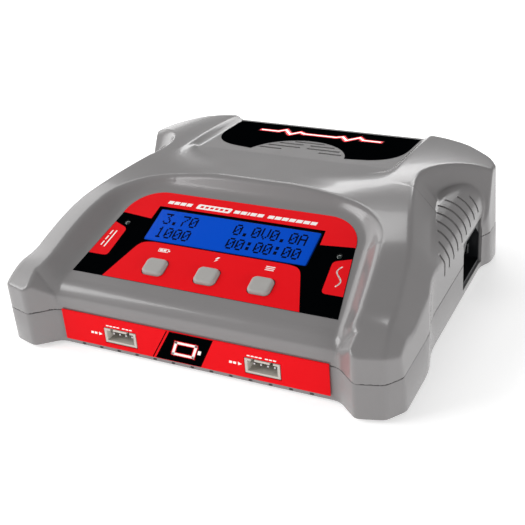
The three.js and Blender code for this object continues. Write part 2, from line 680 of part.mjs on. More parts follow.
const alongX = (radius, x0, x1, sides) => toSolid(
  new THREE.CylinderGeometry(radius, radius, x1 - x0, sides)
    .rotateZ(Math.PI / 2).translate((x0 + x1) / 2, JACK_Y, JACK_Z),
);
const jack = cut(
  blockBetween([-70.2, JACK_Y - 5.5, headerBottom], [-58.5, JACK_Y + 5.5, JACK_Z + 5.5])
    .add(alongX(JACK_RADIUS, -72.8, -70, 20)),
  [alongX(3.1, -80, -62, 20), alongX(1.5, -66, -55, 12)],
);
place('dc_jack', jack, blackPlastic);
place('dc_jack_pin', alongX(1.2, -71.5, -57.5, 12), tinnedSteel);

// ---------------------------------------------------------------- main board and its parts

const mainBoard = () => {
  const bottom = BOARD_TOP - BOARD_THICKNESS;
  const plate = blockBetween([-59, -57.6, bottom], [59, 60, BOARD_TOP]);
  const tongue = blockBetween([-70, 12, bottom], [-58, 40, BOARD_TOP]);
  const inletGap = blockBetween([48.5, 10, 0], [70, 42, 20]);
  return plate.add(tongue).subtract(inletGap);
};
place('main_board', mainBoard(), boardGreen);

const onBoard = (width, depth, height, x, y) =>
  block(width, depth, height, x, y, headerBottom + height / 2);
const standing = (radius, height, x, y) => post(radius, height, x, y, headerBottom, 18);

// Two-window core with a coil round its middle leg.
const TRANSFORMER = new THREE.Vector2(36, -6);
const core = cut(onBoard(30, 11, 20, TRANSFORMER.x, TRANSFORMER.y), [-1, 1].map((side) =>
  block(7, 20, 12, TRANSFORMER.x + side * 7.5, TRANSFORMER.y, headerBottom + 10)));
place('transformer_core', core, ferrite);
const coilOutline = roundedRectangle(21.2, 22, 3, TRANSFORMER.x, TRANSFORMER.y);
const coil = prism(coilOutline, 11.2, headerBottom + 4.4)
  .subtract(block(8.6, 11.6, 30, TRANSFORMER.x, TRANSFORMER.y, 15));
place('transformer_winding', coil, copperTape);

place('bulk_capacitor', standing(9, 27, 34, 52), sleeveBlue);
place('output_capacitor_1', standing(5, 20, -36, 50), sleeveBlue);
place('output_capacitor_2', standing(5, 20, -24, 53), sleeveBlue);
place('buzzer', standing(6, 8.5, 30, -34), blackPlastic);
place('controller_chip', onBoard(14, 14, 1.6, 2, -34), blackPlastic);

const ringProfile = [[4, 0], [10, 0], [10, 9], [4, 9], [4, 0]]
  .map(([r, h]) => new THREE.Vector2(r, h));
const choke = toSolid(
  new THREE.LatheGeometry(ringProfile, 20).rotateX(Math.PI / 2)
    .translate(50, -30, headerBottom + 0.3),
);
place('mains_choke', choke, copperTape);

const finned = (x, y, length, height) => {
  const base = onBoard(2.6, length, height, x, y);
  const fins = [];
  for (let level = 0; level < 5; level += 1) {
    const z = headerBottom + 1.2 + level * (height - 2.4) / 4;
    fins.push(block(9, length, 1.4, x - 5, y, z));
  }
  return join([base, ...fins]);
};
place('heatsink_left', finned(-50, -6, 42, 15), aluminium);
place('heatsink_right', finned(12, 2, 30, 15), aluminium);

const transistor = (x, y) => join([
  onBoard(4.4, 10, 8, x, y).translate(0, 0, 3),
  onBoard(1.3, 10, 11, x - 1.5, y).translate(0, 0, 3),
  ...[-2.5, 0, 2.5].map((dy) => onBoard(0.7, 1, 4, x, y + dy)),
]);
place('transistor_1', transistor(-45.5, -16), blackPlastic);
place('transistor_2', transistor(-45.5, 4), blackPlastic);

// Flat cable between the two boards.
const RIBBON_Y = -44;
place('ribbon_socket', onBoard(18, 5, 4, -20, RIBBON_Y), blackPlastic);
const ribbon = new THREE.Shape([
  new THREE.Vector2(RIBBON_Y - 0.4, headerBottom + 4 + GAP),
  new THREE.Vector2(RIBBON_Y + 0.4, headerBottom + 4 + GAP),
  new THREE.Vector2(RIBBON_Y + 1.4, 13), new THREE.Vector2(RIBBON_Y + 0.9, 17.6),
  new THREE.Vector2(RIBBON_Y + 0.1, 17.4), new THREE.Vector2(RIBBON_Y + 0.6, 13),
]);
const ribbonCable = toSolid(
  new THREE.ExtrudeGeometry(ribbon, { depth: 15, bevelEnabled: false })
    .rotateX(Math.PI / 2).rotateZ(Math.PI / 2).translate(-27.5, 0, 0),
);
place('ribbon_cable', ribbonCable, clearSheet);

// ---------------------------------------------------------------- fan

const FAN_BOTTOM = FAN_TOP - FAN_DEPTH;
const fanPost = (radius, from, to, sides = 20) => post(radius, to - from, 0, FAN_Y, from, sides);

const fanFrame = () => {
  const ring = cut(blockBetween(
    [-FAN_SIZE / 2, FAN_Y - FAN_SIZE / 2, FAN_BOTTOM], [FAN_SIZE / 2, FAN_Y + FAN_SIZE / 2, FAN_TOP],
  ), [fanPost(18.7, 0, 60, 28), ...fanCorners.map((at) => boss(SCREW_HOLE, 0, 60, at))]);
  const spokes = [0, 1].map((turn) => toSolid(
    new THREE.BoxGeometry(38.4, 2, 1.4).rotateZ(Math.PI / 4 + turn * Math.PI / 2)
      .translate(0, FAN_Y, FAN_BOTTOM + 0.7),
  ));
  return join([
    ring, ...spokes, fanPost(8.5, FAN_BOTTOM, FAN_BOTTOM + 1.4), fanPost(1.2, FAN_BOTTOM, 33, 12),
  ]);
};
place('fan_frame', fanFrame(), blackPlastic);

const BLADES = 7;
const fanRotor = () => {
  const hub = cut(fanPost(8, FAN_BOTTOM + 2, FAN_TOP - 0.6), [fanPost(1.6, 0, 33.6, 12)]);
  const vanes = [];
  for (let i = 0; i < BLADES; i += 1) {
    vanes.push(toSolid(
      new THREE.BoxGeometry(11, 9.4, 1).rotateX(THREE.MathUtils.degToRad(38)).translate(12.4, 0, 0)
        .rotateZ(i * 2 * Math.PI / BLADES).translate(0, FAN_Y, FAN_BOTTOM + 5.6),
    ));
  }
  const swept = fanPost(18, FAN_BOTTOM + 2, FAN_TOP - 0.6, 28);
  return hub.add(join(vanes).subtract(fanPost(6, 0, 60)).intersect(swept));
};
place('fan_rotor', fanRotor(), blackPlastic);

fanCorners.forEach((at, i) => {
  const head = boss(2.7, FAN_BOTTOM - GAP - 1.8, FAN_BOTTOM - GAP, at);
  place(`fan_screw_${i + 1}`, head.add(boss(1.3, FAN_BOTTOM - 0.5, FAN_SCREW_TIP, at)), tinnedSteel);
});

export default root;
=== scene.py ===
"""Looks of the balance battery charger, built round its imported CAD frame.

Lengths in this file are millimetres until a mesh is made; Blender holds metres.
"""

import json
import math

import bmesh
import bpy
import numpy as np
from mathutils import Matrix, Vector


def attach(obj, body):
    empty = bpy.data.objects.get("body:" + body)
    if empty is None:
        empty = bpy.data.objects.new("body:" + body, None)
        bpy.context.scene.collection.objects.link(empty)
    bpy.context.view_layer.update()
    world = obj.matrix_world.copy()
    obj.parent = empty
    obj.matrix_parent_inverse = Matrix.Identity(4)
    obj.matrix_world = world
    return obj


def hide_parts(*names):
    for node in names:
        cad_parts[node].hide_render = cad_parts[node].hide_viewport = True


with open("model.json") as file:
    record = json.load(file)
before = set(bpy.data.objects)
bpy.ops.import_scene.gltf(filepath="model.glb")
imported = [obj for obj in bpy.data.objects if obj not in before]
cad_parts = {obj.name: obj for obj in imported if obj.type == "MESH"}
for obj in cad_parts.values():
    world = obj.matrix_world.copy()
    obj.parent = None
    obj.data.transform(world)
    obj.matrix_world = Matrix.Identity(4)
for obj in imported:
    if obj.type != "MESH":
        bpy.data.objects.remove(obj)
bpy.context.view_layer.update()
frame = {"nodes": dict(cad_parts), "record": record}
cad = frame["nodes"]
MM = 0.001

# ------------------------------------------------------------------ camera

CAMERA_AT = Vector((160.64, -305.3, 201.04))
CAMERA_YAW, CAMERA_PITCH, CAMERA_ROLL = 0.489, -0.504, -0.084
FOCAL_PIXELS, FRAME_PIXELS = 1026.3, 525


def make_camera():
    yaw, pitch, roll = CAMERA_YAW, CAMERA_PITCH, CAMERA_ROLL
    ahead = Vector((-math.sin(yaw) * math.cos(pitch), math.cos(yaw) * math.cos(pitch), math.sin(pitch)))
    level = Vector((math.cos(yaw), math.sin(yaw), 0))
    upright = level.cross(ahead)
    right = math.cos(roll) * level + math.sin(roll) * upright
    up = -math.sin(roll) * level + math.cos(roll) * upright
    data = bpy.data.cameras.new("camera")
    data.sensor_width = 36
    data.lens = 36 * FOCAL_PIXELS / FRAME_PIXELS
    data.clip_start, data.clip_end = 0.01, 20
    camera = bpy.data.objects.new("camera", data)
    turn = Matrix((right, up, -ahead)).transposed().to_4x4()
    camera.matrix_world = Matrix.Translation(CAMERA_AT * MM) @ turn
    bpy.context.collection.objects.link(camera)
    bpy.context.scene.camera = camera


make_camera()

# ------------------------------------------------------------------ materials


def linear(hexadecimal):
    values = [int(hexadecimal[i:i + 2], 16) / 255 for i in (0, 2, 4)]
    return [v / 12.92 if v <= 0.04045 else ((v + 0.055) / 1.055) ** 2.4 for v in values]


def surface_look(name, colour, rough, spread=0.06, mottle=0.05, patch=60, grain=1500, bump=0.05,
                 metal=0.0, coat=0.0, glow=0.0, specular=0.5):
    """A moulded, printed or plated surface: soft patches of tone, uneven gloss and a fine grain."""
    look = bpy.data.materials.new(name)
    look.use_nodes = True
    tree = look.node_tree
    shader = tree.nodes["Principled BSDF"]
    base = linear(colour)
    where = tree.nodes.new("ShaderNodeTexCoord")

    def noise(scale, detail):
        node = tree.nodes.new("ShaderNodeTexNoise")
        node.inputs["Scale"].default_value = scale
        node.inputs["Detail"].default_value = detail
        tree.links.new(where.outputs["Object"], node.inputs["Vector"])
        return node.outputs["Fac"]

    patches = noise(patch, 4)
    tone = tree.nodes.new("ShaderNodeMix")
    tone.data_type = "RGBA"
    tone.inputs["A"].default_value = [c * (1 - mottle) for c in base] + [1]
    tone.inputs["B"].default_value = [min(1, c * (1 + mottle)) for c in base] + [1]
    tree.links.new(patches, tone.inputs["Factor"])
    tree.links.new(tone.outputs["Result"], shader.inputs["Base Color"])

    gloss = tree.nodes.new("ShaderNodeMapRange")
    gloss.inputs["To Min"].default_value = max(0.02, rough - spread)
    gloss.inputs["To Max"].default_value = rough + spread
    tree.links.new(noise(patch * 2.3, 5), gloss.inputs["Value"])
    tree.links.new(gloss.outputs["Result"], shader.inputs["Roughness"])

    texture = tree.nodes.new("ShaderNodeBump")
    texture.inputs["Strength"].default_value = bump
    texture.inputs["Distance"].default_value = 0.0002
    tree.links.new(noise(grain, 3), texture.inputs["Height"])
    tree.links.new(texture.outputs["Normal"], shader.inputs["Normal"])

    shader.inputs["Metallic"].default_value = metal
    shader.inputs["Coat Weight"].default_value = coat
    shader.inputs["Coat Roughness"].default_value = 0.05
    shader.inputs["Specular IOR Level"].default_value = specular
    if glow:
        tree.links.new(tone.outputs["Result"], shader.inputs["Emission Color"])
        shader.inputs["Emission Strength"].default_value = glow
    return look


LOOKS = {
    "case": surface_look("case_plastic", "7d7b7b", 0.22, 0.04, 0.035, 40, 700, 0.04, coat=0.2),
    # The red print's slight emission is painted light that brightens the print; the ink itself gives no
    # light.
    "red": surface_look("red_print", "d20b15", 0.34, 0.05, 0.03, 80, 1200, 0.03, glow=0.2, specular=0.05),
    "black": surface_look("black_print", "020304", 0.45, 0.05, 0.2, 80, 1200, 0.03, specular=0.0),
    "white": surface_look("white_print", "f4f2ee", 0.4, 0.05, 0.03, 200, 1200, 0.03),
    "black_plastic": surface_look("black_plastic", "101113", 0.36, 0.08, 0.15, 90, 1800, 0.12),
    "white_plastic": surface_look("header_plastic", "bdb9b0", 0.42, 0.06, 0.05, 220, 2200, 0.1),
    "button_plastic": surface_look("key_plastic", "9f9d9a", 0.5, 0.07, 0.04, 260, 2600, 0.16),
    "circuit_board": surface_look("board_mask", "1d5a38", 0.45, 0.1, 0.25, 300, 900, 0.2),
    "led_lens": surface_look("led_lens", "10201a", 0.12, 0.03, 0.1, 300, 900, 0.02, coat=0.6),
    "clear_film": surface_look("ribbon_film", "cfc8ae", 0.35, 0.06, 0.1, 180, 900, 0.05),
    "capacitor_sleeve": surface_look("capacitor_sleeve", "1e2f66", 0.3, 0.05, 0.1, 160, 1200, 0.04),
    "winding": surface_look("enamelled_wire", "b06a24", 0.35, 0.08, 0.25, 900, 2600, 0.4, metal=0.7),
    "ferrite": surface_look("ferrite", "2b2c2f", 0.7, 0.1, 0.2, 400, 2600, 0.4),
    "heatsink": surface_look("extruded_aluminium", "b9bcc0", 0.35, 0.1, 0.1, 300, 2600, 0.2, metal=1),
    "tinned_metal": surface_look("tinned_metal", "c9cbcd", 0.25, 0.08, 0.08, 300, 1800, 0.1, metal=1),
    "rubber": surface_look("rubber", "1a1a1b", 0.85, 0.08, 0.15, 300, 2600, 0.4),
    "display": surface_look(
        "display_blue", "0546b8", 0.2, 0.03, 0.06, 30, 400, 0.01, glow=0.18, specular=0.03),
    "display_ink": surface_look("display_ink", "010722", 0.3, 0.03, 0.1, 300, 900, 0.02, specular=0.02),
    # The badge's pulse line is print, not a lamp: the emission on its halo, glow and core is painted light.
    "badge_painted_glow": surface_look("badge_painted_glow", "f0202c", 0.4, 0.03, 0.1, 300, 900, 0.02, glow=0.8),
    "badge_painted_halo": surface_look(
        "badge_painted_halo", "3a0408", 0.5, 0.03, 0.1, 300, 900, 0.02, glow=0.5, specular=0.02),
    "badge_core": surface_look("badge_core", "fff0ec", 0.4, 0.03, 0.03, 300, 900, 0.02, glow=0.6),
}
LOOKS["panel_print"] = LOOKS["red"]
LOOKS["badge"] = LOOKS["black"]

# ------------------------------------------------------------------ pieces


def mesh_of(name, points, faces):
    """A mesh from millimetre points and faces of any size."""
    mesh = bpy.data.meshes.new(name)
    mesh.from_pydata([tuple(p) for p in np.asarray(points) * MM], [], [tuple(map(int, f)) for f in faces])
    mesh.update()
    return mesh


def add_piece(name, mesh, look, body="case", slot=None, instead_of=None, sharp=35):
    piece = bpy.data.objects.new(name, mesh)
    bpy.context.collection.objects.link(piece)
    mesh.materials.clear()
    mesh.materials.append(LOOKS[look])
    mesh.polygons.foreach_set("use_smooth", [True] * len(mesh.polygons))
    mesh.set_sharp_from_angle(angle=math.radians(sharp))
    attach(piece, body)
    if instead_of:
        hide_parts(instead_of)
    return piece


PANEL_TILT = math.radians(19)
PANEL_Y, PANEL_Z = -25.8, 35.3
SCOOP_Y, SCOOP_Z, SCOOP_SLOPE = 65.4, 39.6, 0.0907
FASCIA_Y, HALF_DEPTH, HALF_WIDTH = -60.8, 67.5, 76.0
on_panel = Matrix.Translation((0, PANEL_Y, PANEL_Z)) @ Matrix.Rotation(PANEL_TILT, 4, "X")
on_badge = Matrix.Translation((0, SCOOP_Y, SCOOP_Z)) @ Matrix.Rotation(-math.atan(SCOOP_SLOPE), 4, "X")
# Label plane: local X to the right, local Y up, local Z out of the front face.
on_front = Matrix.Translation((0, -61.5, 0)) @ Matrix.Rotation(math.pi / 2, 4, "X")


def placed(points, where):
    return [tuple(where @ Vector(p)) for p in points]


def sheet(name, loops, low, high, where, look, round_edge=0.0, **piece):
    """A flat sheet with holes, from closed outlines, between two heights over its plane."""
    curve = bpy.data.curves.new(name, "CURVE")
    curve.dimensions = "2D"
    curve.fill_mode = "BOTH"
    curve.extrude = ((high - low) / 2 - round_edge) * MM
    curve.bevel_depth = round_edge * MM
    curve.offset = -round_edge * MM
    for loop in loops:
        spline = curve.splines.new("POLY")
        spline.points.add(len(loop) - 1)
        for point, (x, y) in zip(spline.points, loop):
            point.co = (x * MM, y * MM, 0, 1)
        spline.use_cyclic_u = True
    holder = bpy.data.objects.new(name + ".curve", curve)
    mesh = bpy.data.meshes.new_from_object(holder)
    bpy.data.objects.remove(holder)
    bpy.data.curves.remove(curve)
    middle = Matrix.Translation((0, 0, (low + high) / 2))
    move = Matrix.Scale(MM, 4) @ where @ middle @ Matrix.Scale(1 / MM, 4)
    work = bmesh.new()
    work.from_mesh(mesh)
    bmesh.ops.remove_doubles(work, verts=work.verts, dist=1e-7)
    bmesh.ops.transform(work, matrix=move, verts=work.verts)
    bmesh.ops.recalc_face_normals(work, faces=work.faces)
    work.to_mesh(mesh)
    work.free()
    mesh.name = name
    return add_piece(name, mesh, look, **piece)


def prisms(loops, low, high, where):
    """Points and faces of separate convex upright prisms."""
    points, faces = [], []
    for loop in loops:
        start, count = len(points), len(loop)
        points += placed([(x, y, low) for x, y in loop], where)
        points += placed([(x, y, high) for x, y in loop], where)
        faces.append([start + i for i in reversed(range(count))])
        faces.append([start + count + i for i in range(count)])
        for i in range(count):
            j = (i + 1) % count
            faces.append([start + i, start + j, start + count + j, start + count + i])
    return points, faces


def tiles(name, loops, low, high, where, look, **piece):
    points, faces = prisms(loops, low, high, where)
    return add_piece(name, mesh_of(name, points, faces), look, **piece)


def rectangle(x0, y0, x1, y1, lean=0.0):
    return [(x0, y0), (x1, y0), (x1 + lean, y1), (x0 + lean, y1)]


def rounded(points, cut, steps=5):
    """The outline with each corner swapped for a curve that starts cut before it."""
    points = [np.array(p, float) for p in points]
    out = []
    for i, corner in enumerate(points):
        before, after = points[i - 1], points[(i + 1) % len(points)]
        reach = cut[i] if isinstance(cut, (list, tuple)) else cut
        start = corner + (before - corner) * min(0.48, reach / np.linalg.norm(before - corner))
        end = corner + (after - corner) * min(0.48, reach / np.linalg.norm(after - corner))
        for t in np.linspace(0, 1, steps):
            out.append(tuple((1 - t) ** 2 * start + 2 * t * (1 - t) * corner + t * t * end))
    return out


def round_rectangle(width, height, radius, cx=0.0, cy=0.0, steps=6):
    out = []
    for quarter, (sx, sy) in enumerate(((1, 1), (-1, 1), (-1, -1), (1, -1))):
        for t in np.linspace(0, math.pi / 2, steps):
            angle = t + quarter * math.pi / 2
            out.append((cx + sx * (width / 2 - radius) + radius * math.cos(angle),
                        cy + sy * (height / 2 - radius) + radius * math.sin(angle)))
    return out


def circle(radius, cx, cy, sides=32):
    turn = 2 * math.pi / sides
    return [(cx + radius * math.cos(i * turn), cy + radius * math.sin(i * turn)) for i in range(sides)]


def flip(points):
    return [(-x, y) for x, y in reversed(points)]


# ------------------------------------------------------------------ form of the case


def soft_min(a, b, width):
    near = np.maximum(width - np.abs(a - b), 0) / width
    return np.minimum(a, b) - near * near * width / 4


def soft_max(a, b, width):
    return -soft_min(-a, -b, width)


def smooth(start, end, value):
    t = np.clip((value - start) / (end - start), 0, 1)
    return t * t * (3 - 2 * t)


def corner_cut(line, times):
    """An open line with its corners worn down."""
    line = np.array(line, float)
    for _ in range(times):
        near = line[:-1] * 0.75 + line[1:] * 0.25
        far = line[:-1] * 0.25 + line[1:] * 0.75
        line = np.vstack([line[:1], np.stack([near, far], 1).reshape(-1, 2), line[-1:]])
    return line


# Right half of the footprint, from the middle of the front to the middle of the rear.
HALF_FOOTPRINT = [
    (0, FASCIA_Y), (54.2, FASCIA_Y), (62, -HALF_DEPTH), (71.3, -65), (HALF_WIDTH, -58.4),
    (HALF_WIDTH, -34.9), (73, -24.7), (73, 38.2), (HALF_WIDTH, 42.6),
    (HALF_WIDTH, 50.9), (70.5, 59.5), (60, 65.2), (46, HALF_DEPTH), (0, HALF_DEPTH),
]
CORNER_CUTS = [0, 2.2, 1.6, 1.6, 1.6, 5, 5, 3, 3, 2.2, 2.2, 2.2, 4, 0]
HALF_RING = np.array(rounded(HALF_FOOTPRINT, CORNER_CUTS, 4))
RING = np.vstack([HALF_RING, HALF_RING[::-1] * (-1, 1)])

TOP_EDGE = corner_cut([
    (71.3, -68.6), (70.2, -58.6), (69.1, -46.6), (67.7, -34.6), (65.5, -22.6), (61.5, -10.6),
    (57.8, 1.4), (54.7, 13.4), (53, 20.4), (53.4, 27.4), (57.2, 35.4), (61.8, 41), (66.5, 45),
    (71, 47.4), (78, 49.4),
], 2)


def distance_to(line, x, y):
    best = None
    for (ax, ay), (bx, by) in zip(line[:-1], line[1:]):
        ux, uy = bx - ax, by - ay
        size = ux * ux + uy * uy
        if size < 1e-9:
            continue
        t = np.clip(((x - ax) * ux + (y - ay) * uy) / size, 0, 1)
        square = (x - ax - t * ux) ** 2 + (y - ay - t * uy) ** 2
        best = square if best is None else np.minimum(best, square)
    return np.sqrt(best)


def footprint(x, y):
    """Distance outside the footprint, negative inside, for x >= 0."""
    away = distance_to(HALF_RING, x, y)
    crossings = np.zeros(np.broadcast(x, y).shape, int)
    for (ax, ay), (bx, by) in zip(HALF_RING[:-1], HALF_RING[1:]):
        if ay == by:
            continue
        spans = (ay > y) != (by > y)
        crossings += spans & (x < ax + (y - ay) * (bx - ax) / (by - ay))
    return np.where(crossings % 2 == 1, -away, away)


def panel_height(y):
    return PANEL_Z + math.tan(PANEL_TILT) * (y - PANEL_Y)


ROLL = 8.5
ROLL_Y = FASCIA_Y + ROLL
ROLL_Z = panel_height(ROLL_Y) - ROLL / math.cos(PANEL_TILT)
CORNER_X, CORNER_V, CORNER_WIDE, CORNER_LONG = 32.4, 2.2, 17.6, 16.4
CORNER_SPLAY = 0.11
LEDGE_START_X, LEDGE_END_X, LEDGE_RISE, LEDGE_SLOPE = 53, 54.6, 3.3, 0.5
WALL_STEEPENING, STEEP_START_Y = 0.03, -50
RECESS_FRONT = -24.7
SHOULDER_X, SHOULDER_Z, SHOULDER_RADIUS = 61.8, 24.3, 11.2
ARCH_TOP, ARCH_Y = 45, 13.4
POST_X, POST_TURN = 62, 0.263
POST_FACE_Z, POST_SLOPE = 24.2, 0.72
ARM_FRONT_Z, ARM_SLOPE = 26.8, 0.385
SCOOP_DISH = 0.048
FAN_Y, GRILLE = 27.9, 19.3
DRAFT = 0.054
FOOT_Z = 1
HEADER_X = 27.6
SEAM_Z = 14.4
SEAM_GAP = 0.04
WALL = 2.4


def beyond_pocket(x, v):
    side = x - CORNER_X - CORNER_WIDE - CORNER_SPLAY * (CORNER_V - v)
    rear = v - CORNER_V - CORNER_LONG
    away = np.hypot(np.maximum(x - CORNER_X, 0) / CORNER_WIDE, np.maximum(v - CORNER_V, 0) / CORNER_LONG)
    corner = (away - 1) * (CORNER_WIDE + CORNER_LONG) / 2
    return np.where(v <= CORNER_V, side, np.where(x <= CORNER_X, rear, corner))


def top_face(x, y):
    """Height of the roof over the table, for x >= 0."""
    behind_front = y + HALF_DEPTH - POST_TURN * (x - POST_X)
    rounding = np.where(y < ARCH_Y, 0.0045 * smooth(4, 20, behind_front), 0.0055)
    crown = rounding * np.maximum(0, x - 42) ** 2
    arch = ARCH_TOP - np.where(y < ARCH_Y, 0.0023, 0.0013) * (y - ARCH_Y) ** 2
    scoop = SCOOP_Z + SCOOP_SLOPE * (SCOOP_Y - y) + SCOOP_DISH * np.maximum(0, FAN_Y - y)
    rearward = smooth(2.4, 27.4, y)
    start, end = 12 + 28.5 * rearward, 52 - 7.5 * rearward
    flank = scoop + (arch - scoop) * smooth(start, end, x)
    slope = soft_min(flank, ARM_FRONT_Z + ARM_SLOPE * behind_front, 3) - crown
    return soft_min(slope, POST_FACE_Z + POST_SLOPE * behind_front, 3)


def closed_case(x, y, z):
    """Roughly the distance outside the upper case, negative inside, with no floor."""
    x = np.abs(x)
    away = distance_to(TOP_EDGE, x, y)
    edge_x = np.interp(y, TOP_EDGE[:, 1], TOP_EDGE[:, 0])
    past_edge = np.where(x > edge_x, away, -away)
    steep = 1 + 1.2 * smooth(20, 34, y)
    roof = (z - top_face(x, y) + steep * soft_max(past_edge, 0, 1.0)) / 1.2

    across, above = x - SHOULDER_X, z - SHOULDER_Z
    shoulder = np.hypot(np.maximum(across, 0), np.maximum(above, 0))
    shoulder = shoulder + np.minimum(np.maximum(across, above), 0) - SHOULDER_RADIUS
    shoulder = np.maximum(shoulder, RECESS_FRONT - y)
    roof = soft_min(roof, shoulder, 0.8)

    v = (y - PANEL_Y) / math.cos(PANEL_TILT)
    wall_slope = 1 + WALL_STEEPENING * np.maximum(0, STEEP_START_Y - y)
    lift = wall_slope * soft_max(beyond_pocket(x, v), 0, 1.8)
    level = z - lift
    plane = (level - panel_height(y)) * math.cos(PANEL_TILT)
    py, pz = y - ROLL_Y, level - ROLL_Z
    turned = (-math.sin(PANEL_TILT) * pz - math.cos(PANEL_TILT) * py >= 0) & (pz >= 0)
    floor = np.where(turned, np.hypot(py, pz) - ROLL, np.maximum(plane, FASCIA_Y - y))
    ledge = ROLL_Z + LEDGE_RISE * smooth(LEDGE_START_X, LEDGE_END_X, x)
    ledge = ledge - LEDGE_SLOPE * np.maximum(0, FASCIA_Y - y)
    pocket = np.minimum(floor, level - ledge) / 1.15

    case = soft_max(roof, pocket, 1.4)
    case = soft_max(case, footprint(x, y), 0.7)
    return soft_max(case, x + DRAFT * (z - FOOT_Z) - HALF_WIDTH, 0.8)


def upper_case(x, y, z):
    return soft_max(closed_case(x, y, z), SEAM_Z + SEAM_GAP - z, 0.2)


def inner_case(x, y, z):
    return np.maximum(closed_case(x, y, z) + WALL, 10 - z)


def skin(field, low, high, step):
    """Points and four-sided faces of the surface where the field is zero."""
    axes = [np.arange(a, b + step, step) for a, b in zip(low, high)]
    axes[0] = np.concatenate([-axes[0][::-1], axes[0]]) if low[0] > 0 else axes[0]
    half = axes[0][axes[0] > 0] if low[0] > 0 else axes[0]
    values = field(half[:, None, None], axes[1][None, :, None], axes[2][None, None, :])
    if low[0] > 0:
        values = np.concatenate([values[::-1], values])
    cells = np.array(values.shape) - 1
    stride = np.array([cells[1] * cells[2], cells[2], 1])
    where, total, quads = [], [], []
    for a in range(3):
        b, c = (a + 1) % 3, (a + 2) % 3
        near = [slice(None)] * 3
        far = [slice(None)] * 3
        near[a], far[a] = slice(0, -1), slice(1, None)
        v0, v1 = values[tuple(near)], values[tuple(far)]
        edges = np.argwhere((v0 < 0) != (v1 < 0))
        index = tuple(edges.T)
        first, last = v0[index], v1[index]
        points = edges.astype(float)
        points[:, a] += first / (first - last)
        ring = []
        for db, dc in ((1, 1), (0, 1), (0, 0), (1, 0)):
            cell = edges.copy()
            cell[:, b] -= db
            cell[:, c] -= dc
            ring.append(cell @ stride)
            where.append(ring[-1])
            total.append(points)
        ring = np.stack(ring, 1)
        quads.append(np.where((first < 0)[:, None], ring, ring[:, ::-1]))
    where, total, quads = np.concatenate(where), np.concatenate(total), np.concatenate(quads)
    used, member = np.unique(where, return_inverse=True)
    count = np.bincount(member)
    grid = np.stack([np.bincount(member, total[:, i]) / count for i in range(3)], 1)
    points = np.stack([np.interp(grid[:, i], np.arange(len(axes[i])), axes[i]) for i in range(3)], 1)
    for _ in range(2):
        value = field(*points.T)
        slope = np.stack([(field(*(points + step_by).T) - value) / 0.01 for step_by in np.eye(3) * 0.01], 1)
        move = value[:, None] * slope / np.maximum((slope * slope).sum(1), 0.2)[:, None]
        size = np.linalg.norm(move, axis=1, keepdims=True)
        points -= move * np.minimum(1, 0.4 * step / np.maximum(size, 1e-9))
    return points, np.searchsorted(used, quads)


def cut_away(mesh, *cutters):
    """The mesh less each cutter, given as points and faces."""
    target = bpy.data.objects.new("cutting", mesh)
    bpy.context.collection.objects.link(target)
    tools = []
    for points, faces in cutters:
        tool = bpy.data.objects.new("cutter", mesh_of("cutter", points, faces))
        bpy.context.collection.objects.link(tool)
        tool.hide_render = True
        tools.append(tool)
        cut = target.modifiers.new("cut", "BOOLEAN")
        cut.operation, cut.solver, cut.object = "DIFFERENCE", "MANIFOLD", tool
    bpy.context.view_layer.update()
    result = bpy.data.meshes.new_from_object(target.evaluated_get(bpy.context.evaluated_depsgraph_get()))
    for thing in [target, *tools]:
        bpy.data.objects.remove(thing)
    return result


def box_outline(x0, y0, x1, y1):
    return [(x0, y0), (x1, y0), (x1, y1), (x0, y1)]


upright = Matrix.Identity(4)
BUTTON_X, BUTTON_V = (-20.6, 0.0, 20.6), -20
LED_X, LED_V = 42, -1.6
SLOT_HALF = 0.6
SIDE_SLOTS, SIDE_SLOT_Y, SIDE_SLOT_PITCH, SIDE_SLOT_HALF = 9, -9.2, 5.4, 0.62


def fan_slots():
    slots = []
    # Each row's distance behind the fan's middle, and where its halves end in the middle.
    for away, inner in ((7.9, 8), (11.5, 1.5), (15.1, 1.5), (18.2, 0)):
        outer = math.sqrt(GRILLE ** 2 - away ** 2)
        y0, y1 = FAN_Y + away - SLOT_HALF, FAN_Y + away + SLOT_HALF
        if inner:
            slots += [box_outline(-outer, y0, -inner, y1), box_outline(inner, y0, outer, y1)]
        else:
            slots.append(box_outline(-outer, y0, outer, y1))
    return prisms(slots, 34, 46, upright)


def side_slots():
    recess = np.array([
        (80, -34), (73, RECESS_FRONT), (69.5, -9.6), (65.3, 1.4), (62.4, 9.4), (60.3, 17.4),
        (59.3, 25.4), (59.9, 31.4), (64.4, 38.2), (69.5, 43), (78, 48),
    ])
    points, faces = [], []
    for i in range(SIDE_SLOTS):
        y = SIDE_SLOT_Y + SIDE_SLOT_PITCH * i
        start = max(np.interp(y, recess[:, 1], recess[:, 0]) + 1.6, 61.5, 66 + 3 * (i - 7))
        for side in (-1, 1):
            x0, x1 = sorted((side * start, side * 75))
            outlines = [box_outline(x0, y - SIDE_SLOT_HALF, x1, y + SIDE_SLOT_HALF)]
            more, shape = prisms(outlines, 23 + 0.45 * i, 42, upright)
            faces += [[n + len(points) for n in face] for face in shape]
            points += more
    return points, faces


def bars(*corners):
    """Points and faces of upright boxes, each given as low and high corners."""
    points, faces = [], []
    for (x0, y0, z0), (x1, y1, z1) in corners:
        more, shape = prisms([box_outline(x0, y0, x1, y1)], z0, z1, upright)
        faces += [[n + len(points) for n in face] for face in shape]
        points += more
    return points, faces


facing_left = Matrix.Rotation(-math.pi / 2, 4, "Y")
JACK_HOLE = prisms([circle(4.9, 13.4, 26)], 67, 80, facing_left)
INLET_HOLE = bars(((67, 14.2, 3.8), (79, 37.9, 23)))


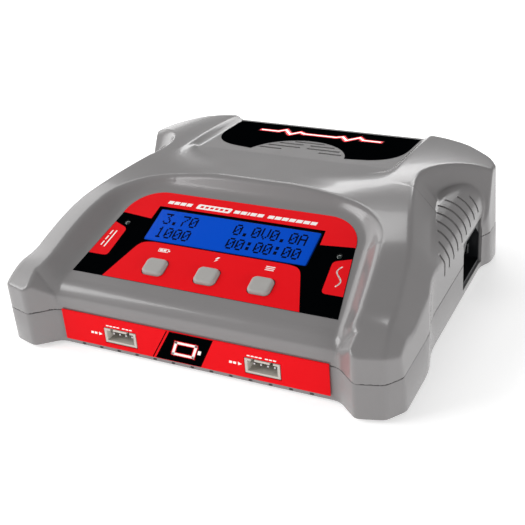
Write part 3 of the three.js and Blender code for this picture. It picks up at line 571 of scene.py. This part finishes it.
def upper_shell():
    points, faces = skin(upper_case, (0.3, -68.4, 13.2), (77, 68.6, 48.6), 0.6)
    inner_points, inner_faces = skin(inner_case, (0.7, -66, 8.6), (75, 67, 46), 1.4)
    panel_holes = [round_rectangle(72.2, 27, 0.5)]
    panel_holes += [round_rectangle(9.5, 8.5, 1.8, x, BUTTON_V) for x in BUTTON_X]
    panel_holes += [circle(1.5, side * LED_X, LED_V) for side in (-1, 1)]
    return cut_away(
        mesh_of("case_upper", points, faces), (inner_points, inner_faces),
        prisms(panel_holes, -8, 3, on_panel), fan_slots(), side_slots(), INLET_HOLE, JACK_HOLE,
    )


add_piece("case_upper", upper_shell(), "case", slot="case", instead_of="upper_shell", sharp=40)

# ------------------------------------------------------------------ lower shell


def inset(ring, distance):
    """A closed outline moved inwards along its corners' bisectors."""
    along = np.roll(ring, -1, 0) - ring
    along /= np.maximum(np.linalg.norm(along, axis=1, keepdims=True), 1e-9)
    normal = np.stack([-along[:, 1], along[:, 0]], 1)
    bisector = normal + np.roll(normal, 1, 0)
    bisector /= np.maximum((bisector ** 2).sum(1, keepdims=True), 1e-9) / 2
    return ring + bisector * distance


def clean_ring(ring):
    keep = np.linalg.norm(ring - np.roll(ring, 1, 0), axis=1) > 0.05
    return ring[keep]


def loft(ring, levels):
    """A closed solid through outlines: (height, inset) from the bottom up."""
    points, faces, count = [], [], len(ring)
    for z, distance in levels:
        loop = inset(ring, distance)
        limit = HALF_WIDTH - DRAFT * (z - FOOT_Z) - max(distance, 0)
        loop[:, 0] = np.clip(loop[:, 0], -limit, limit)
        points += [(x, y, z) for x, y in loop]
    for level in range(len(levels) - 1):
        for i in range(count):
            a, b = level * count + i, level * count + (i + 1) % count
            faces.append([a, b, b + count, a + count])
    faces.append(list(reversed(range(count))))
    faces.append([len(points) - count + i for i in range(count)])
    return points, faces


def lower_shell():
    ring = clean_ring(RING)
    top = SEAM_Z - SEAM_GAP
    points, faces = loft(ring, [
        (FOOT_Z, 0.5), (1.08, 0.25), (1.25, 0.07), (1.5, 0),
        (top - 0.15, 0), (top - 0.04, 0.04), (top, 0.15),
    ])
    hollow = loft(ring, [(2.8, WALL), (20, WALL)])
    notches = [((i * 7.43 - 0.7, -62, 1.5), (i * 7.43 + 0.7, -60.2, 2.3)) for i in range(-6, 7)]
    floor_slots = [((i * 5 - 0.8, 14.9, 0), (i * 5 + 0.8, 40.9, 4)) for i in range(-3, 4)]
    rear_slots = [((i * 5.4 - 0.9, 63.5, 6), (i * 5.4 + 0.9, 70, 12)) for i in range(-5, 6)]
    headers = [((x - 6.7, -64, 4.9), (x + 6.7, -56, 11.5)) for x in (-HEADER_X, HEADER_X)]
    screws = [circle(3.3, x, y, 24) for x in (-64, 64) for y in (-52, 50)]
    feet = [circle(5.3, x, y, 32) for x in (-50, 50) for y in (-48, 52)]
    return cut_away(
        mesh_of("case_lower", points, faces), hollow,
        bars(*notches, *floor_slots, *rear_slots, *headers),
        INLET_HOLE, JACK_HOLE, prisms(screws, 0, 4.6, upright), prisms(feet, 0, 2, upright),
    )


add_piece("case_lower", lower_shell(), "case", slot="case", instead_of="lower_shell", sharp=40)

# ------------------------------------------------------------------ control panel

OVERLAY_TOP = 0.12
INK_TOP = 0.15
RED_LAYER = (OVERLAY_TOP - 0.005, INK_TOP)
WHITE_LAYER = (INK_TOP - 0.005, INK_TOP + 0.02)


def overlay_outline(shrink=0.0):
    right = [(51.1 - shrink, -27.6 + shrink)]
    for t in np.linspace(0, math.pi / 2, 12):
        reach = 13.9 - shrink
        right.append((32.4 + reach * math.cos(t), 2.1 + reach * math.sin(t)))
    return right + flip(right)


def side_x(v):
    """Half-width of the panel sheet, less a hair, on its straight sides."""
    return 46.25 + (2.1 - v) * 4.8 / 29.7


window = round_rectangle(65.1, 16.6, 0.8)
key_holes = [round_rectangle(8.8, 7.8, 2.0, x, BUTTON_V) for x in BUTTON_X]
led_holes = [circle(1.2, side * LED_X, LED_V, 24) for side in (-1, 1)]
sheet("panel_sheet", [overlay_outline(), window, *key_holes, *led_holes], 0.01, OVERLAY_TOP, on_panel,
      "black", slot="panel_print", instead_of="control_overlay")

upper_band = [(45.9, 3.1)]
for turn in np.linspace(0.05, math.pi / 2, 12):
    upper_band.append((32.4 + 13.85 * math.cos(turn), 2.1 + 13.85 * math.sin(turn)))
upper_band = flip(upper_band)[::-1] + upper_band[::-1]
upper_band += [(33.6, 2.0), (33.2, 8.7), (-33.2, 8.7), (-33.6, 2.0)]
sheet("panel_upper_print", [upper_band], *RED_LAYER, on_panel, "red", slot="panel_print")

lower_print = rounded([
    (-38.5, -27.55), (37.6, -27.55), (31.0, -9.6), (26.4, -8.75), (-27, -8.75), (-31.9, -9.6),
], [0.1, 0.1, 3.2, 1.5, 1.5, 3.2])
sheet("panel_lower_print", [lower_print, *key_holes], *RED_LAYER, on_panel, "red",
      slot="panel_print")

side_tab = rounded([
    (side_x(-2.1) - 0.1, -2.1), (side_x(-18.4) - 0.1, -18.4), (41.7, -18.4), (40.7, -4.4),
], [0.1, 0.1, 1.6, 1.6])
for side, name in ((1, "right"), (-1, "left")):
    sheet(f"panel_tab_{name}", [side_tab if side > 0 else flip(side_tab)], *RED_LAYER,
          on_panel, "red", slot="panel_print")


def stroke(points, width):
    """A line of short four-cornered tiles along a path."""
    out = []
    for (ax, ay), (bx, by) in zip(points[:-1], points[1:]):
        length = math.hypot(bx - ax, by - ay)
        ux, uy = (bx - ax) / length * width / 2, (by - ay) / length * width / 2
        ax, ay, bx, by = ax - ux, ay - uy, bx + ux, by + uy
        out.append([(ax + uy, ay - ux), (bx + uy, by - ux), (bx - uy, by + ux), (ax - uy, ay + ux)])
    return out


def dashes(x, v, widths, height, gap=0.45, lean=0.35):
    out = []
    for width in widths:
        if width > 0:
            out.append(rectangle(x, v - height / 2, x + width, v + height / 2, lean))
        x += abs(width) + gap
    return out


# Plain marks stand where the real panel has wording.
title = dashes(-30.9, 11.2, [2.1, 2.1, 2.2, 2.1], 1.5)
title += dashes(-3.6, 11.2, [2.3, 2.3, 0.7, 2.3, 2.3, -1.0, 2.3, 2.3, 2.3, 2.3, 2.3, 2.3, 2.3], 1.5)
tiles("panel_title_marks", title, *WHITE_LAYER, on_panel, "white", slot="panel_print")
pill = rounded(rectangle(-19.0, 10.0, -5.0, 12.4, 0.7), 0.7)
pill_marks = [rectangle(x, 10.7, x + 1.3, 11.7, 0.3)[::-1] for x in (-17.4, -15.4, -13.4, -11.4, -9.4, -7.4)]
sheet("panel_title_pill", [pill, *pill_marks], *WHITE_LAYER, on_panel, "white",
      slot="panel_print")

# Battery, bolt and list signs over the keys.
battery = stroke([(-23.1, -12.6), (-19.3, -12.6), (-19.3, -11.2), (-23.1, -11.2), (-23.1, -12.6)], 0.25)
battery += [rectangle(-19.1, -12.2, -18.6, -11.6), rectangle(-22.7, -12.3, -21.5, -11.5),
            rectangle(-21.3, -12.3, -20.1, -11.5)]
bolt = [[(-0.5, -11.9), (0.3, -11.9), (1.0, -10.8), (0.2, -10.8)],
        [(-0.4, -13.0), (0.0, -12.1), (0.8, -12.1), (-0.6, -13.2)]]
menu = [rectangle(18.9, v, 22.3, v + 0.35) for v in (-12.8, -12.05, -11.3)]
tiles("panel_key_signs", battery + bolt + menu, *WHITE_LAYER, on_panel, "white",
      slot="panel_print")

# Direct current sign on the left tab, alternating current sign on the right one.
direct = stroke([(-45.0, -14.4), (-44.0, -6.6)], 0.5)
direct += [p for v in (-13.9, -11.1, -8.3) for p in stroke([(-46.6 + 0.13 * (v + 14), v),
                                                            (-46.35 + 0.13 * (v + 14), v + 1.6)], 0.5)]
wave = [(45.46 - 0.84 * s + 1.15 * math.sin(s * 2 * math.pi), -14.6 + s * 8.4)
        for s in np.linspace(0, 1, 25)]
tiles("panel_supply_signs", direct + stroke(wave, 0.5), *WHITE_LAYER, on_panel, "white",
      slot="panel_print")

# ------------------------------------------------------------------ display

PANE_TOP = -0.3
sheet("display_pane", [round_rectangle(63.9, 15.4, 0.5)], -3.0, PANE_TOP, on_panel, "display", 0.12,
      slot="display", instead_of="display_glass")

FONT = {
    "0": "01110 10001 10011 10101 11001 10001 01110",
    "1": "00100 01100 00100 00100 00100 00100 01110",
    "3": "11111 00010 00100 00010 00001 10001 01110",
    "7": "11111 00001 00010 00100 01000 01000 01000",
    ".": "00000 00000 00000 00000 00000 01100 01100",
    ":": "00000 01100 01100 00000 01100 01100 00000",
    "V": "10001 10001 10001 10001 10001 01010 00100",
    "A": "01110 10001 10001 11111 10001 10001 10001",
}
ROWS = ("3.70    0.0V0.0A", "1000    00:00:00")
CELL = 3.6
ROW_TOP, ROW_PITCH = 6.0, 6.7
DOT, DOT_PITCH, DOT_HEIGHT = 0.6, 0.75, 0.74
dots = []
for row, text in enumerate(ROWS):
    for column, letter in enumerate(text):
        for line, bits in enumerate(FONT.get(letter, "").split()):
            for at, bit in enumerate(bits):
                if bit == "1":
                    x = (column - 8) * CELL + at * DOT
                    y = ROW_TOP - row * ROW_PITCH - line * DOT_PITCH
                    dots.append(rectangle(x - 0.02, y - DOT_HEIGHT, x + DOT, y))
tiles("display_characters", dots, PANE_TOP - 0.005, PANE_TOP + 0.02, on_panel, "display_ink", slot="display")

# ------------------------------------------------------------------ keys and lights


def turned_cap(outline_at, levels):
    """A closed solid through outlines of equal length: outline_at(shrink) at each (height, shrink)."""
    loops = [[(x, y, z) for x, y in outline_at(shrink)] for z, shrink in levels]
    count = len(loops[0])
    points = [p for loop in loops for p in loop]
    faces = [list(reversed(range(count)))]
    for level in range(len(loops) - 1):
        for i in range(count):
            a, b = level * count + i, level * count + (i + 1) % count
            faces.append([a, b, b + count, a + count])
    faces.append([len(points) - count + i for i in range(count)])
    return points, faces


def key(name, x):
    levels = [(-3.7, -1.1), (-2.95, -1.1), (-2.9, 0), (0.3, 0.05)]
    crown = 1.0
    for t in np.linspace(0, math.pi / 2, 8):
        levels.append((1.38 - crown + crown * math.sin(t), 0.1 + crown * (1 - math.cos(t))))
    levels += [(1.4, 1.9), (1.34, 2.9)]

    def outline(shrink):
        radius = max(1.9 - 0.45 * shrink, 0.35)
        return round_rectangle(8.4 - 2 * shrink, 7.4 - 2 * shrink, radius, x, BUTTON_V, 7)

    points, faces = turned_cap(outline, levels)
    mesh = mesh_of(name, placed(points, on_panel), faces)
    add_piece(name, mesh, "button_plastic", body=f"button_{name[4:]}", slot="button_plastic",
              instead_of=f"button_{name[4:]}", sharp=50)


for side_name, key_x in zip(("left", "middle", "right"), BUTTON_X):
    key(f"key_{side_name}", key_x)

for side, name in ((-1, "left"), (1, "right")):
    dome = [(-8, 0), (-0.25, 0)] + [(-0.25 + 0.35 * math.sin(t), 1 - math.cos(t)) for t in
                                    np.linspace(0.2, 1.45, 7)]
    points, faces = turned_cap(lambda shrink: circle(1.0 - shrink, side * LED_X, LED_V, 28), dome)
    add_piece(f"light_{name}", mesh_of(f"light_{name}", placed(points, on_panel), faces), "led_lens",
              slot="led_lens", instead_of=f"status_led_{name}", sharp=50)

# ------------------------------------------------------------------ front label

INK_OUT = 0.03
LOW, HIGH = 3.35, 15.35
band = [(-6.9, HIGH), (-13.9, LOW), (4.0, LOW), (9.9, HIGH)]
sheet("label_dark_field", [band[::-1]], 0.003, INK_OUT, on_front, "black", slot="panel_print")
tiles("label_dark_line", [[(-15.2, LOW), (-14.8, LOW), (-7.8, HIGH), (-8.2, HIGH)]], 0.003, INK_OUT,
      on_front, "black", slot="panel_print")
cell = [(-6.6, 6.6), (1.2, 6.6), (3.1, 11.4), (-4.7, 11.4), (-6.6, 6.6)]
cell_sign = stroke(cell, 0.9) + [[(3.1, 8.2), (4.3, 8.2), (4.9, 9.9), (3.7, 9.9)]]
# Red print edge round the sign; it carries the red print's painted glow.
cell_glow = stroke(cell, 1.5)
tiles("label_sign_edge", cell_glow, INK_OUT - 0.004, INK_OUT + 0.012, on_front, "red", slot="panel_print")
tiles("label_sign", cell_sign, INK_OUT + 0.008, INK_OUT + 0.03, on_front, "white", slot="panel_print")
marks = []
for x in (-HEADER_X, HEADER_X):
    marks += dashes(x - 5.5, 12.35, [1.1, 1.1, 1.1, 1.1, -0.5, 1.1, 1.1, 1.1], 0.45, 0.35, 0.15)
    marks.append([(x - 9.0, 7.6), (x - 7.6, 8.3), (x - 9.0, 9.0)])
    marks += dashes(x - 12.4, 8.3, [1.1, 1.1], 0.9, 0.4, 0.15)
tiles("label_marks", marks, 0.003, INK_OUT, on_front, "white", slot="panel_print")

# ------------------------------------------------------------------ badge

NOTCH = 20.6


def badge_outline():
    flank = rounded([(20.1, 32.4), (30.5, 34.2), (35.8, 37.4), (38.9, 42.2), (40.3, 48), (40.3, 65)],
                    [0, 3, 3, 3, 3, 0])[5:-5]
    right = [*flank, (40.3, 65)]
    arc = []
    for t in np.linspace(0.07, 0.93, 40):
        arc.append((NOTCH * math.cos(math.pi * t), FAN_Y + NOTCH * math.sin(math.pi * t)))
    return [(x, y - SCOOP_Y) for x, y in right + flip(right) + arc[::-1]]


sheet("badge_sheet", [badge_outline()], 0.01, 0.14, on_badge, "black", slot="badge",
      instead_of="rear_badge")
pulse = [(-26, 56.2), (-19, 56.2), (-16.5, 59), (-12.5, 53.8), (-9.5, 57.8), (-7, 56.2), (7, 56.2),
         (9.5, 57.8), (12.5, 53.8), (16.5, 59), (19, 56.2), (26, 56.2)]
pulse = [(x, y - SCOOP_Y) for x, y in pulse]
# Printed pulse line on the badge, made to glow with painted light.
tiles("badge_painted_halo", stroke(pulse, 3.4), 0.12, 0.15, on_badge, "badge_painted_halo", slot="badge")
tiles("badge_painted_glow", stroke(pulse, 2.3), 0.13, 0.17, on_badge, "badge_painted_glow", slot="badge")
tiles("badge_core", stroke(pulse, 1.0), 0.155, 0.2, on_badge, "badge_core", slot="badge")

# ------------------------------------------------------------------ CAD nodes that stay

for part in frame["record"]["subparts"]:
    node = cad[part["node"]]
    node.data.materials.clear()
    node.data.materials.append(LOOKS[part["material_slot"]])

# ------------------------------------------------------------------ floor and light


def make_stage():
    mesh = bpy.data.meshes.new("floor")
    work = bmesh.new()
    bmesh.ops.create_grid(work, x_segments=1, y_segments=1, size=4)
    work.to_mesh(mesh)
    work.free()
    floor = bpy.data.objects.new("floor", mesh)
    floor.location.z = -0.0002
    bpy.context.collection.objects.link(floor)
    look = surface_look("floor", "f6f6f6", 0.9, 0.05, 0.004, 4, 30, 0.01, glow=0.5, specular=0.1)
    mesh.materials.append(look)

    world = bpy.data.worlds.new("studio")
    bpy.context.scene.world = world
    world.use_nodes = True
    world.node_tree.nodes["Background"].inputs["Color"].default_value = (1, 1, 1, 1)
    world.node_tree.nodes["Background"].inputs["Strength"].default_value = 0.33
    bpy.context.scene.view_settings.view_transform = "Standard"


def softbox(name, at, aim, size, power, mirrored=True):
    data = bpy.data.lights.new(name, "AREA")
    data.shape = "RECTANGLE"
    data.size, data.size_y = size
    data.energy = power
    lamp = bpy.data.objects.new(name, data)
    lamp.location = at
    lamp.rotation_euler = (Vector(aim) - Vector(at)).to_track_quat("-Z", "Y").to_euler()
    lamp.visible_glossy = mirrored
    bpy.context.collection.objects.link(lamp)


make_stage()
softbox("key_light", (-0.9, -0.55, 0.6), (0, 0, 0.02), (0.7, 0.7), 9)
softbox("arm_light", (-1.0, 0.3, 0.6), (0, 0, 0.02), (1.0, 0.8), 5)
softbox("top_light", (-0.3, 0.75, 0.95), (0, 0, 0.02), (0.6, 0.3), 2.2)
softbox("back_light", (-0.2, 0.9, 0.45), (0, 0, 0.02), (0.7, 0.12), 1.5)
softbox("side_light", (0.9, -0.4, 0.12), (0, 0, 0.02), (0.5, 0.2), 4, mirrored=False)
